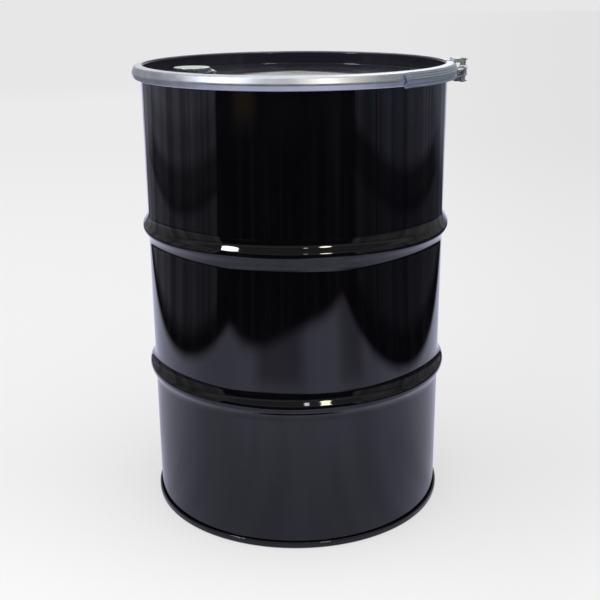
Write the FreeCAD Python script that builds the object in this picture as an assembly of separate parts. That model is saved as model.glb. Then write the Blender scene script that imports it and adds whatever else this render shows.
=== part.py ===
import FreeCAD, Part
import math
import os

# Open-head steel drum of 55 US gallons, about 208 litres, with a lever-lock closing ring.
# The origin is on the drum's axis at floor level and +Z points up. All lengths are in millimetres.

# ---- driving dimensions: sheet metal drum ----
SHEET = 1.2
BODY_RADIUS = 287.0
DRUM_HEIGHT = 867.0
HOOP_HEIGHTS = (566.0, 285.0)
HOOP_RADIUS = 297.9
HOOP_HALF_HEIGHT = 20.0
HOOP_CREST_BEND = 9.0
HOOP_ROOT_BEND = 12.0
CHIME_RADIUS = 292.2
CHIME_HEIGHT = 12.5
BOTTOM_RECESS = 15.0
CURL_RADIUS = 5.5

# ---- driving dimensions: cover and its bung ----
COVER_DEPTH = 25.0
COVER_GROOVE = 4.0
COVER_WALL_RADIUS = 284.5
COVER_CREST_RADIUS = 296.4
COVER_SKIRT_RADIUS = 299.0
COVER_SKIRT_DROP = 11.0
BUNG_X = -197.0
BUNG_Y = 39.0
BUNG_BOSS_RADIUS = 48.0
BUNG_BOSS_RISE = 6.0
BUNG_NECK_RADIUS = 33.0
BUNG_THREAD_RADIUS = 28.4
BUNG_THREAD_PITCH = 2.309
BUNG_TOP = 855.0
SEAL_SHEET = 0.5
SEAL_RADIUS = 34.85

# ---- driving dimensions: closing ring and lever lock ----
RING_SHEET = 2.0
RING_RADIUS = 303.0
RING_BOTTOM = 842.0
RING_MIDDLE = 853.5
RING_LIP_RADIUS = 284.4
RING_HOOK_RADIUS = 290.8
RING_LEAN = 21.5
RING_GAP_HALF_ANGLE = 1.5
LOCK_HEIGHT = 848.5
LEVER_PIVOT = (318.0, -12.0)
LEVER_LINK_PIVOT = (310.0, -36.0)
BACK_PIVOT = (320.0, 12.0)
PIN_RADIUS = 3.0
RUNNING_CLEARANCE = 0.05
PLATE = 2.5
FRONT_LUG_HALF_HEIGHT = 4.4
EAR_LEVEL = 4.6
LINK_LEVEL = 7.3
BACK_LUG_LEVEL = 18.5
LEVER_START_ANGLE = -9.2
LEVER_FLARE_ANGLE = -49.0
LEVER_FLARE_TURN = 30.0
LEVER_FLARE_RADIUS = 45.0
LEVER_SHEET = 1.2
LEVER_HALF_HEIGHT = 12.5

# ---- worked out from the driving dimensions ----
HALF_SHEET = SHEET / 2
WALL = BODY_RADIUS - HALF_SHEET
CURL_MIDDLE = CURL_RADIUS - HALF_SHEET
CURL_CENTRE = WALL + CURL_MIDDLE
CURL_TOP = DRUM_HEIGHT - 8.5
PANEL_TOP = DRUM_HEIGHT - COVER_DEPTH
PANEL = PANEL_TOP - HALF_SHEET
BOSS = PANEL + BUNG_BOSS_RISE
LUG_INNER = RING_RADIUS + 0.2
LUG_OUTER = LUG_INNER + PLATE
LEVER_INNER = RING_RADIUS + 0.5
RING_SLOPE = math.tan(math.radians(RING_LEAN))
FULL_TURN = 360.0
Z_AXIS = FreeCAD.Vector(0, 0, 1)


# ---- plane geometry ----
def unit(start, end):
    run = end[0] - start[0]
    rise = end[1] - start[1]
    length = math.hypot(run, rise)
    return (run / length, rise / length)


def beside(point, direction, offset):
    """A point of the XZ plane, moved to the left of a direction."""
    return FreeCAD.Vector(point[0] - direction[1] * offset, 0, point[1] + direction[0] * offset)


def add_line(edges, start, end):
    if start.distanceToPoint(end) > 1e-6:
        edges.append(Part.LineSegment(start, end).toShape())


def bent_line(corners, offset):
    """Straight runs joined by tangent arcs, drawn beside the corners' line at a signed distance."""
    edges = []
    here = beside(corners[0], unit(corners[0], corners[1]), offset)
    for before, corner, after in zip(corners, corners[1:], corners[2:]):
        arriving = unit(before, corner)
        leaving = unit(corner, after)
        cross = arriving[0] * leaving[1] - arriving[1] * leaving[0]
        dot = arriving[0] * leaving[0] + arriving[1] * leaving[1]
        half_turn = abs(math.atan2(cross, dot)) / 2
        back = corner[2] * math.tan(half_turn)
        reach = corner[2] / math.cos(half_turn) - corner[2]
        inward = unit(arriving, leaving)
        along = unit((0, 0), (arriving[0] + leaving[0], arriving[1] + leaving[1]))
        first = (corner[0] - arriving[0] * back, corner[1] - arriving[1] * back)
        middle = (corner[0] + inward[0] * reach, corner[1] + inward[1] * reach)
        last = (corner[0] + leaving[0] * back, corner[1] + leaving[1] * back)
        arc_start = beside(first, arriving, offset)
        arc_end = beside(last, leaving, offset)
        add_line(edges, here, arc_start)
        if arc_start.distanceToPoint(arc_end) > 1e-6:
            edges.append(Part.Arc(arc_start, beside(middle, along, offset), arc_end).toShape())
        here = arc_end
    add_line(edges, here, beside(corners[-1], unit(corners[-2], corners[-1]), offset))
    return edges


def sheet_section(corners, thickness):
    """The cut face of a bent sheet whose middle line goes round (radius, height, bend) corners."""
    left = bent_line(corners, thickness / 2)
    right = bent_line(corners, -thickness / 2)
    caps = []
    first = unit(corners[0], corners[1])
    final = unit(corners[-2], corners[-1])
    for point, direction in ((corners[0], first), (corners[-1], final)):
        ends = [beside(point, direction, side * thickness / 2) for side in (1, -1)]
        add_line(caps, ends[0], ends[1])
    wire = Part.Wire(Part.sortEdges(left + right + caps)[0])
    return Part.Face(wire)


def polygon_section(points):
    corners = [FreeCAD.Vector(r, 0, z) for r, z in points]
    return Part.Face(Part.makePolygon(corners + corners[:1]))


# ---- solids ----
def turned(face, start=0.0, sweep=FULL_TURN, centre=(0.0, 0.0)):
    """A section swept about the vertical line through centre, from a start angle."""
    solid = face.revolve(FreeCAD.Vector(0, 0, 0), Z_AXIS, sweep)
    if solid.Volume < 0:
        solid.reverse()
    solid.rotate(FreeCAD.Vector(0, 0, 0), Z_AXIS, start)
    solid.translate(FreeCAD.Vector(centre[0], centre[1], 0))
    return solid


def block(low, high):
    size = [top - bottom for bottom, top in zip(low, high)]
    return Part.makeBox(size[0], size[1], size[2], FreeCAD.Vector(*low))


def upright(radius, centre, bottom, top):
    return Part.makeCylinder(radius, top - bottom, FreeCAD.Vector(centre[0], centre[1], bottom))


def capsule(start, end, radius, bottom, top):
    """An upright slab whose outline is a straight slot shape."""
    along = unit(start, end)
    side = (-along[1] * radius, along[0] * radius)
    corners = [
        FreeCAD.Vector(start[0] + side[0], start[1] + side[1], bottom),
        FreeCAD.Vector(end[0] + side[0], end[1] + side[1], bottom),
        FreeCAD.Vector(end[0] - side[0], end[1] - side[1], bottom),
        FreeCAD.Vector(start[0] - side[0], start[1] - side[1], bottom),
    ]
    slab = Part.Face(Part.makePolygon(corners + corners[:1])).extrude(FreeCAD.Vector(0, 0, top - bottom))
    return slab.fuse([upright(radius, start, bottom, top), upright(radius, end, bottom, top)]).removeSplitter()


def polar(radius, angle):
    turn = math.radians(angle)
    return (radius * math.cos(turn), radius * math.sin(turn))


def radial_cylinder(radius, inner, outer, angle, height):
    """A cylinder that points away from the drum's axis."""
    foot = polar(inner, angle)
    direction = polar(1.0, angle)
    start = FreeCAD.Vector(foot[0], foot[1], height)
    return Part.makeCylinder(radius, outer - inner, start, FreeCAD.Vector(direction[0], direction[1], 0))


def both_sides(make):
    """The same slab above and below the lock's middle plane; make takes the two levels' signs."""
    return [make(1), make(-1)]


def levels(near, far, side):
    """Bottom and top of a layer that lies from near to far off the lock's middle plane."""
    heights = (LOCK_HEIGHT + side * near, LOCK_HEIGHT + side * far)
    return min(heights), max(heights)


# ---- body and bottom ----
def hoop_corners(height):
    lean = math.atan2(HOOP_RADIUS - BODY_RADIUS, HOOP_HALF_HEIGHT)
    crest = HOOP_RADIUS - HALF_SHEET + HOOP_CREST_BEND * (1 / math.cos(lean) - 1)
    return [
        (WALL, height + HOOP_HALF_HEIGHT, HOOP_ROOT_BEND),
        (crest, height, HOOP_CREST_BEND),
        (WALL, height - HOOP_HALF_HEIGHT, HOOP_ROOT_BEND),
    ]


SEAM_BEND = 1.6
SEAM_OUTER = CHIME_RADIUS - HALF_SHEET
SEAM_BODY_HOOK = SEAM_OUTER - 1.7
SEAM_HEAD_HOOK = SEAM_OUTER - 3.4
SEAM_HEAD_WALL = WALL - SHEET - 0.2
BODY_HOOK_BASE = 2.7
BODY_HOOK_TOP = 8.7
HEAD_HOOK_END = 3.9


def make_body_shell():
    curl_low = CURL_TOP - 2 * CURL_RADIUS + HALF_SHEET
    curl_high = CURL_TOP - HALF_SHEET
    curl_outer = CURL_CENTRE + CURL_MIDDLE
    corners = [
        (WALL + 2.5, curl_low),
        (curl_outer, curl_low, CURL_MIDDLE),
        (curl_outer, curl_high, CURL_MIDDLE),
        (WALL, curl_high, CURL_MIDDLE),
    ]
    for height in HOOP_HEIGHTS:
        corners += hoop_corners(height)
    corners += [
        (WALL, BODY_HOOK_BASE, SEAM_BEND),
        (SEAM_BODY_HOOK, BODY_HOOK_BASE, SEAM_BEND),
        (SEAM_BODY_HOOK, BODY_HOOK_TOP),
    ]
    return turned(sheet_section(corners, SHEET))


def make_bottom_head():
    centre_height = BOTTOM_RECESS + HALF_SHEET
    outer_height = centre_height + 2.5
    corners = [
        (0, centre_height),
        (250, centre_height, 6),
        (258, outer_height, 6),
        (SEAM_HEAD_WALL, outer_height, 4),
        (SEAM_HEAD_WALL, HALF_SHEET, SEAM_BEND),
        (SEAM_OUTER, HALF_SHEET, SEAM_BEND),
        (SEAM_OUTER, CHIME_HEIGHT - HALF_SHEET, SEAM_BEND),
        (SEAM_HEAD_HOOK, CHIME_HEIGHT - HALF_SHEET, SEAM_BEND),
        (SEAM_HEAD_HOOK, HEAD_HOOK_END),
    ]
    return turned(sheet_section(corners, SHEET))


def make_seam_sealant():
    inner = SEAM_BODY_HOOK - 0.55
    outer = SEAM_BODY_HOOK + 0.55
    top = BODY_HOOK_TOP + 1.9
    return turned(polygon_section([(inner, BODY_HOOK_TOP), (outer, BODY_HOOK_TOP), (outer, top), (inner, top)]))


# ---- cover ----
COVER_WALL = COVER_WALL_RADIUS - HALF_SHEET
COVER_SKIRT = COVER_SKIRT_RADIUS - HALF_SHEET
COVER_FLANGE_INNER = (COVER_WALL, DRUM_HEIGHT - 2.75)
COVER_FLANGE_OUTER = (COVER_CREST_RADIUS, DRUM_HEIGHT - 3.6)


def flange_underside(radius):
    """Height of the under face of the cover's flange, which is a shallow cone under the ring's lip."""
    inner_radius, inner_height = COVER_FLANGE_INNER
    outer_radius, outer_height = COVER_FLANGE_OUTER
    slope = (outer_height - inner_height) / (outer_radius - inner_radius)
    return inner_height + (radius - inner_radius) * slope - HALF_SHEET * math.hypot(1.0, slope)


def make_cover():
    corners = [
        (0, PANEL),
        (262, PANEL, 6),
        (267, PANEL - COVER_GROOVE, 5),
        (COVER_WALL, PANEL - COVER_GROOVE, 5),
        (COVER_FLANGE_INNER[0], COVER_FLANGE_INNER[1], 1.5),
        (COVER_FLANGE_OUTER[0], COVER_FLANGE_OUTER[1], 3.0),
        (COVER_SKIRT, DRUM_HEIGHT - COVER_SKIRT_DROP),
    ]
    disc = turned(sheet_section(corners, SHEET))
    centre = (BUNG_X, BUNG_Y)
    boss_corners = [
        (BUNG_BOSS_RADIUS, PANEL),
        (BUNG_BOSS_RADIUS - 3.0, PANEL, 3),
        (BUNG_BOSS_RADIUS - 7.5, BOSS, 3),
        (BUNG_NECK_RADIUS, BOSS),
    ]
    boss = turned(sheet_section(boss_corners, SHEET), centre=centre)
    hole = upright(BUNG_BOSS_RADIUS, centre, PANEL - SHEET, PANEL + SHEET)
    return disc.cut(hole).fuse(boss).removeSplitter()


def make_cover_gasket():
    inner = COVER_WALL_RADIUS + 2.8
    bend = inner + 3.7
    outer = COVER_CREST_RADIUS - 2.4
    bottom = CURL_TOP + 0.3
    points = [
        (inner, bottom),
        (outer, bottom),
        (outer, flange_underside(outer)),
        (bend, flange_underside(bend)),
        (inner, bottom + 3.0),
    ]
    return turned(polygon_section(points))


# ---- bung: flange, plug and cap seal ----
FLANGE_TOP = 850.6
FLANGE_BOTTOM = 833.0
FLANGE_PLATE = (842.0, 845.4)
FLANGE_PLATE_RADIUS = 40.0
FLANGE_SIDES = 8
PLUG_BOTTOM = 836.0
PLUG_HEAD = (851.9, 853.6)
PLUG_HEAD_RADIUS = 32.5
PLUG_CUP_RADIUS = 25.0
PLUG_THREADS = 4
BUNG_CENTRE = (BUNG_X, BUNG_Y)


def make_bung_flange():
    bore = BUNG_THREAD_RADIUS + RUNNING_CLEARANCE
    neck = upright(BUNG_NECK_RADIUS, BUNG_CENTRE, FLANGE_BOTTOM, FLANGE_TOP)
    corners = []
    for side in range(FLANGE_SIDES):
        x, y = polar(FLANGE_PLATE_RADIUS, side * FULL_TURN / FLANGE_SIDES)
        corners.append(FreeCAD.Vector(BUNG_X + x, BUNG_Y + y, FLANGE_PLATE[0]))
    outline = Part.Face(Part.makePolygon(corners + corners[:1]))
    plate = outline.extrude(FreeCAD.Vector(0, 0, FLANGE_PLATE[1] - FLANGE_PLATE[0]))
    hole = upright(bore, BUNG_CENTRE, FLANGE_BOTTOM - 1, FLANGE_TOP + 1)
    return neck.fuse(plate).cut(hole).removeSplitter()


def flat_ring(inner, outer, bottom, top):
    points = [(inner, bottom), (outer, bottom), (outer, top), (inner, top)]
    return turned(polygon_section(points), centre=BUNG_CENTRE)


def make_bung_flange_gasket():
    return flat_ring(BUNG_NECK_RADIUS, FLANGE_PLATE_RADIUS - 4.0, FLANGE_PLATE[1], BOSS - HALF_SHEET)


def make_bung_plug():
    thread = BUNG_THREAD_RADIUS
    points = [(0, PLUG_BOTTOM), (thread - 1.5, PLUG_BOTTOM), (thread, PLUG_BOTTOM + 1.5)]
    height = PLUG_BOTTOM + 2.0
    for _ in range(PLUG_THREADS):
        points.append((thread, height))
        points.append((thread - 1.0, height + BUNG_THREAD_PITCH * 0.4))
        points.append((thread, height + BUNG_THREAD_PITCH * 0.8))
        height += BUNG_THREAD_PITCH
    points += [
        (thread, PLUG_HEAD[0]),
        (PLUG_HEAD_RADIUS, PLUG_HEAD[0]),
        (PLUG_HEAD_RADIUS, PLUG_HEAD[1]),
        (PLUG_CUP_RADIUS, PLUG_HEAD[1]),
        (PLUG_CUP_RADIUS, PLUG_BOTTOM + 2.5),
        (0, PLUG_BOTTOM + 2.5),
    ]
    cup = turned(polygon_section(points))
    bars = []
    for side in (1, -1):
        ends = sorted((side * (PLUG_CUP_RADIUS - 8.0), side * (PLUG_CUP_RADIUS + 1.0)))
        bars.append(block((ends[0], -5.0, PLUG_BOTTOM + 1.0), (ends[1], 5.0, PLUG_HEAD[0] - 2.0)))
    plug = cup.fuse(bars).removeSplitter()
    plug.translate(FreeCAD.Vector(BUNG_X, BUNG_Y, 0))
    return plug


def make_bung_plug_gasket():
    return flat_ring(BUNG_THREAD_RADIUS + 0.1, PLUG_HEAD_RADIUS, FLANGE_TOP, PLUG_HEAD[0])


def make_cap_seal():
    skirt = SEAL_RADIUS - SEAL_SHEET / 2
    top = BUNG_TOP - SEAL_SHEET / 2
    corners = [
        (0, top - 0.5),
        (25, top - 0.5, 1),
        (26.5, top, 1),
        (skirt, top, 1),
        (skirt, BUNG_TOP - 3.8),
    ]
    cap = turned(sheet_section(corners, SEAL_SHEET))
    tab_reach = 7.5
    tab_level = BUNG_TOP - 3.2
    tab = upright(6.5, (tab_reach, 0), 0, SEAL_SHEET)
    tab = tab.fuse(block((-0.2, -3.0, 0), (tab_reach, 3.0, SEAL_SHEET)))
    tab = tab.cut(upright(3.8, (tab_reach, 0), -1, 1))
    tab.rotate(FreeCAD.Vector(0, 0, 0), FreeCAD.Vector(0, 1, 0), 25)
    tab.translate(FreeCAD.Vector(skirt, 0, tab_level))
    seal = cap.fuse(tab).removeSplitter()
    seal.translate(FreeCAD.Vector(BUNG_X, BUNG_Y, 0))
    return seal


# ---- closing ring and its two riveted lugs ----
RING_WALL = RING_RADIUS - RING_SHEET / 2
RING_NOSE_BEND = 6.0
RING_NOSE = RING_WALL + RING_NOSE_BEND * (1 / math.cos(math.radians(RING_LEAN)) - 1)
RIVET_RADIUS = 2.5
RIVET_HEAD_RADIUS = 4.2
RIVET_TAIL_RADIUS = 298.8
RIVET_HEAD_HEIGHT = 1.8
FRONT_RIVET_ANGLES = (-4.9, -7.3)
BACK_RIVET_ANGLES = (4.4, 7.0)


def leaning(radius, height):
    """A radius at the ring's middle, carried to another height along the ring's sloping sides."""
    return radius - abs(height - RING_MIDDLE) * RING_SLOPE


def make_closing_ring():
    shoulder = DRUM_HEIGHT - 2.0
    foot = RING_BOTTOM + 1.2
    corners = [
        (RING_LIP_RADIUS, DRUM_HEIGHT - 1.0),
        (leaning(RING_NOSE, shoulder), shoulder, 4.5),
        (RING_NOSE, RING_MIDDLE, RING_NOSE_BEND),
        (leaning(RING_NOSE, foot), foot, 2.5),
        (RING_HOOK_RADIUS, RING_BOTTOM + 3.4),
    ]
    sweep = FULL_TURN - 2 * RING_GAP_HALF_ANGLE
    ring = turned(sheet_section(corners, RING_SHEET), RING_GAP_HALF_ANGLE, sweep)
    holes = []
    for angle in FRONT_RIVET_ANGLES + BACK_RIVET_ANGLES:
        hole_radius = RIVET_RADIUS + RUNNING_CLEARANCE
        holes.append(radial_cylinder(hole_radius, RING_WALL - 5, RING_WALL + 3, angle, LOCK_HEIGHT))
    return ring.cut(holes)


def make_rivets(angles):
    rivets = []
    for angle in angles:
        shank = radial_cylinder(RIVET_RADIUS, RIVET_TAIL_RADIUS, LUG_OUTER, angle, LOCK_HEIGHT)
        ball_radius = (RIVET_HEAD_RADIUS ** 2 + RIVET_HEAD_HEIGHT ** 2) / (2 * RIVET_HEAD_HEIGHT)
        middle = polar(LUG_OUTER + RIVET_HEAD_HEIGHT - ball_radius, angle)
        ball = Part.makeSphere(ball_radius, FreeCAD.Vector(middle[0], middle[1], LOCK_HEIGHT))
        reach = RIVET_HEAD_HEIGHT + 1
        head_room = radial_cylinder(RIVET_HEAD_RADIUS + 1, LUG_OUTER, LUG_OUTER + reach, angle, LOCK_HEIGHT)
        rivets.append(shank.fuse(ball.common(head_room)).removeSplitter())
    return Part.makeCompound(rivets)


def rivet_holes(angles):
    return [radial_cylinder(RIVET_RADIUS, LUG_INNER - 1, LUG_OUTER + 1, angle, LOCK_HEIGHT) for angle in angles]


def lug_strap(start, end, half_height):
    """A strap that lies against the ring from one angle to another."""
    bottom, top = LOCK_HEIGHT - half_height, LOCK_HEIGHT + half_height
    points = [(LUG_INNER, bottom), (LUG_OUTER, bottom), (LUG_OUTER, top), (LUG_INNER, top)]
    return turned(polygon_section(points), start, end - start)


def make_front_lug():
    strap = lug_strap(-8.7, -RING_GAP_HALF_ANGLE, FRONT_LUG_HALF_HEIGHT)
    bottom, top = LOCK_HEIGHT - FRONT_LUG_HALF_HEIGHT, LOCK_HEIGHT + FRONT_LUG_HALF_HEIGHT
    barrel = upright(5.5, LEVER_PIVOT, bottom, top)
    pivot_x, pivot_y = LEVER_PIVOT
    arm = block((LUG_INNER + 1, pivot_y - 3.5, bottom), (pivot_x, pivot_y + 3.5, top))
    body = strap.fuse([barrel, arm])
    pin_hole = upright(PIN_RADIUS, LEVER_PIVOT, bottom - 1, top + 1)
    return body.cut([pin_hole] + rivet_holes(FRONT_RIVET_ANGLES)).removeSplitter()


BACK_LUG_LIP = 5.0


def make_back_lug():
    half_height = BACK_LUG_LEVEL + PLATE
    strap = lug_strap(RING_GAP_HALF_ANGLE, 8.7, half_height)
    pivot_x, pivot_y = BACK_PIVOT
    eye = 8.2
    clearance = upright(LUG_INNER, (0, 0), LOCK_HEIGHT - 30, LOCK_HEIGHT + 30)

    def plate(side):
        bottom, top = levels(BACK_LUG_LEVEL, half_height, side)
        outline = [
            (LUG_INNER - 2, pivot_y - eye),
            (pivot_x, pivot_y - eye),
            (pivot_x + 3.0, pivot_y + eye * 0.9),
            (LUG_INNER - 2, pivot_y + eye + 20.0),
        ]
        corners = [FreeCAD.Vector(x, y, bottom) for x, y in outline]
        slab = Part.Face(Part.makePolygon(corners + corners[:1])).extrude(FreeCAD.Vector(0, 0, top - bottom))
        return slab.fuse(upright(eye, BACK_PIVOT, bottom, top)).cut(clearance)

    def lip(side):
        bottom, top = levels(BACK_LUG_LEVEL - BACK_LUG_LIP, half_height, side)
        return block((LUG_INNER + 0.8, pivot_y - eye, bottom), (pivot_x, pivot_y - eye + PLATE, top))

    body = strap.fuse(both_sides(plate) + both_sides(lip))
    pin_hole = upright(PIN_RADIUS, BACK_PIVOT, LOCK_HEIGHT - 30, LOCK_HEIGHT + 30)
    return body.cut([pin_hole] + rivet_holes(BACK_RIVET_ANGLES)).removeSplitter()


# ---- lever, link and their pins ----
LEVER_RIBS = 5
RIB_DEPTH = 1.1
EAR_RADIUS = 7.0
LEVER_NOSE = RING_NOSE + 2.2


def lever_section():
    """A ribbed strip seen end on, bent to the ring's bulging side, with its lower edge turned outwards."""
    bottom = RING_MIDDLE - LEVER_HALF_HEIGHT + LEVER_SHEET / 2
    top = RING_MIDDLE + LEVER_HALF_HEIGHT
    foot = leaning(LEVER_NOSE, bottom)
    corners = [(foot + 4.6, bottom), (foot, bottom, LEVER_SHEET / 2)]
    first = bottom + 3.4
    step = (top - 1.2 - first) / (2 * LEVER_RIBS)
    for index in range(2 * LEVER_RIBS + 1):
        height = first + index * step
        reach = RIB_DEPTH if index % 2 else 0.0
        corners.append((leaning(LEVER_NOSE, height) + reach, height, 1.2))
    corners.append((leaning(LEVER_NOSE, top), top))
    return sheet_section(corners, LEVER_SHEET)


def make_lever():
    section = lever_section()
    strip = turned(section, LEVER_FLARE_ANGLE, LEVER_START_ANGLE - LEVER_FLARE_ANGLE)
    flare_axis = LEVER_INNER + LEVER_FLARE_RADIUS
    shifted = section.copy()
    shifted.translate(FreeCAD.Vector(-flare_axis, 0, 0))
    flare = turned(shifted, 0.0, LEVER_FLARE_TURN)
    flare.rotate(FreeCAD.Vector(0, 0, 0), Z_AXIS, LEVER_FLARE_ANGLE)
    x, y = polar(flare_axis, LEVER_FLARE_ANGLE)
    flare.translate(FreeCAD.Vector(x, y, 0))

    def ear(side):
        bottom, top = levels(EAR_LEVEL, EAR_LEVEL + PLATE, side)
        inner = leaning(LEVER_NOSE, (bottom + top) / 2) + (RIB_DEPTH / 2 if side > 0 else 0.0)
        ring_room = upright(inner, (0, 0), bottom - 1, top + 1)
        root = polar(inner + 2.0, LEVER_START_ANGLE - 2.5)
        eye = capsule(LEVER_PIVOT, LEVER_LINK_PIVOT, EAR_RADIUS, bottom, top)
        arm = capsule(LEVER_LINK_PIVOT, root, EAR_RADIUS - 1.0, bottom, top)
        return eye.fuse(arm).cut(ring_room)

    low, high = LOCK_HEIGHT - 30, LOCK_HEIGHT + 30
    pivot_hole = upright(PIN_RADIUS + RUNNING_CLEARANCE, LEVER_PIVOT, low, high)
    link_hole = upright(PIN_RADIUS, LEVER_LINK_PIVOT, low, high)
    return strip.fuse([flare] + both_sides(ear)).cut([pivot_hole, link_hole]).removeSplitter()


def make_lever_pivot_pin():
    reach = EAR_LEVEL + PLATE
    return upright(PIN_RADIUS, LEVER_PIVOT, LOCK_HEIGHT - reach, LOCK_HEIGHT + reach)


def make_lever_link_pins():
    return Part.makeCompound(
        both_sides(lambda side: upright(PIN_RADIUS, LEVER_LINK_PIVOT, *levels(EAR_LEVEL, EAR_LEVEL + PLATE, side)))
    )


def make_link_plate(side):
    bottom, top = levels(LINK_LEVEL, LINK_LEVEL + PLATE, side)
    plate = capsule(LEVER_LINK_PIVOT, BACK_PIVOT, EAR_RADIUS, bottom, top)
    pivot_hole = upright(PIN_RADIUS + RUNNING_CLEARANCE, BACK_PIVOT, bottom - 1, top + 1)
    pin_hole = upright(PIN_RADIUS, LEVER_LINK_PIVOT, bottom - 1, top + 1)
    return plate.cut([pivot_hole, pin_hole])


def make_link_pin_heads():
    def head(side, tail):
        outer = LINK_LEVEL + PLATE
        shank = upright(PIN_RADIUS, LEVER_LINK_PIVOT, *levels(LINK_LEVEL, outer + tail, side))
        return shank.fuse(upright(4.4, LEVER_LINK_PIVOT, *levels(outer, outer + 1.5, side))).removeSplitter()

    return Part.makeCompound([head(1, 1.5), head(-1, 5.5)])


def make_link_pivot_pin():
    reach = BACK_LUG_LEVEL + PLATE
    pin = upright(PIN_RADIUS, BACK_PIVOT, LOCK_HEIGHT - reach, LOCK_HEIGHT + reach)
    heads = both_sides(lambda side: upright(4.6, BACK_PIVOT, *levels(reach, reach + 1.5, side)))
    return pin.fuse(heads).removeSplitter()


def make_link_spacers():
    def tube(bottom, top, radius):
        hole = upright(PIN_RADIUS, BACK_PIVOT, bottom - 1, top + 1)
        return upright(radius, BACK_PIVOT, bottom, top).cut(hole)

    inner_reach = LINK_LEVEL - 0.2
    tubes = [tube(LOCK_HEIGHT - inner_reach, LOCK_HEIGHT + inner_reach, 4.6)]
    outer = (LINK_LEVEL + PLATE + 0.2, BACK_LUG_LEVEL)
    tubes += both_sides(lambda side: tube(*levels(outer[0], outer[1], side), 5.4))
    return Part.makeCompound(tubes)


# ---- every sub-part, by node name ----
NODES = {
    "body_shell": make_body_shell,
    "bottom_head": make_bottom_head,
    "seam_sealant": make_seam_sealant,
    "cover": make_cover,
    "cover_gasket": make_cover_gasket,
    "bung_flange": make_bung_flange,
    "bung_flange_gasket": make_bung_flange_gasket,
    "bung_plug": make_bung_plug,
    "bung_plug_gasket": make_bung_plug_gasket,
    "cap_seal": make_cap_seal,
    "closing_ring": make_closing_ring,
    "front_lug": make_front_lug,
    "front_lug_rivets": lambda: make_rivets(FRONT_RIVET_ANGLES),
    "back_lug": make_back_lug,
    "back_lug_rivets": lambda: make_rivets(BACK_RIVET_ANGLES),
    "lever": make_lever,
    "lever_pivot_pin": make_lever_pivot_pin,
    "lever_link_pins": make_lever_link_pins,
    "link_upper_plate": lambda: make_link_plate(1),
    "link_lower_plate": lambda: make_link_plate(-1),
    "link_pin_heads": make_link_pin_heads,
    "link_pivot_pin": make_link_pivot_pin,
    "link_spacers": make_link_spacers,
}


def main():
    os.makedirs("parts", exist_ok=True)
    for node, make in NODES.items():
        shape = make()
        shape.exportStep("parts/" + node + ".step")
        print(node, len(shape.Solids), round(shape.Volume), shape.isValid())


main()
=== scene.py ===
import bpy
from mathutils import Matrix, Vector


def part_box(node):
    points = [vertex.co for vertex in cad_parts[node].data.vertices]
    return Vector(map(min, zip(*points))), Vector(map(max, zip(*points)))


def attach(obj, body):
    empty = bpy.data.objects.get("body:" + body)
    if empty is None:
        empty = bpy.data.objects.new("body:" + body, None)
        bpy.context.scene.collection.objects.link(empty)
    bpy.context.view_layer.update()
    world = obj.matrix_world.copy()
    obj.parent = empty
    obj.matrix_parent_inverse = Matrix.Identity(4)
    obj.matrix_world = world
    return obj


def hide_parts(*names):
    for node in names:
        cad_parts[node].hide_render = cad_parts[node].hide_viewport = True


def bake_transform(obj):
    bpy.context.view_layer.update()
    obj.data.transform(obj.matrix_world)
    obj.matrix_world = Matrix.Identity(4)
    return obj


bl_info = {
    "name": "Lever-lock steel drum",
    "version": (1, 0, 0),
    "blender": (4, 5, 0),
    "location": "View3D > Sidebar > Drum",
    "description": "Builds an open-head steel drum with its cover, bung, closing ring and lever lock",
    "category": "Object",
}

import math

import bmesh
import bpy
from bpy.props import FloatProperty, FloatVectorProperty, IntProperty, PointerProperty
from mathutils import Euler, Matrix, Vector

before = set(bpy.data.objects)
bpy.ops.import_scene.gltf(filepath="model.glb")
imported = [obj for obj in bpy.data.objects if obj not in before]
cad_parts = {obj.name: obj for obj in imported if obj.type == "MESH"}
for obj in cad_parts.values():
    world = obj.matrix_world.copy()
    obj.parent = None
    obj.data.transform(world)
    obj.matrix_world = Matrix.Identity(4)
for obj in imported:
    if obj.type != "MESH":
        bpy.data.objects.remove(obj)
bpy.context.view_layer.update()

MM = 0.001
BODY_LOW, BODY_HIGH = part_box("body_shell")
HEAD_LOW, HEAD_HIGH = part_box("bottom_head")
COVER_LOW, COVER_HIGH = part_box("cover")
RING_LOW, RING_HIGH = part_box("closing_ring")
FLANGE_LOW, FLANGE_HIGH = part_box("bung_flange")
SEAL_LOW, SEAL_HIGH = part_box("cap_seal")


# ---- settings that a user would change ----
def length(name, description, default):
    return FloatProperty(name=name, description=description, default=default, unit="LENGTH")


def angle_setting(name, description, default):
    return FloatProperty(name=name, description=description, default=default, subtype="ANGLE")


def number_setting(name, description, default):
    return FloatProperty(name=name, description=description, default=default)


def colour(name, description, default):
    return FloatVectorProperty(
        name=name, description=description, default=default, size=3, subtype="COLOR"
    )


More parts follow.
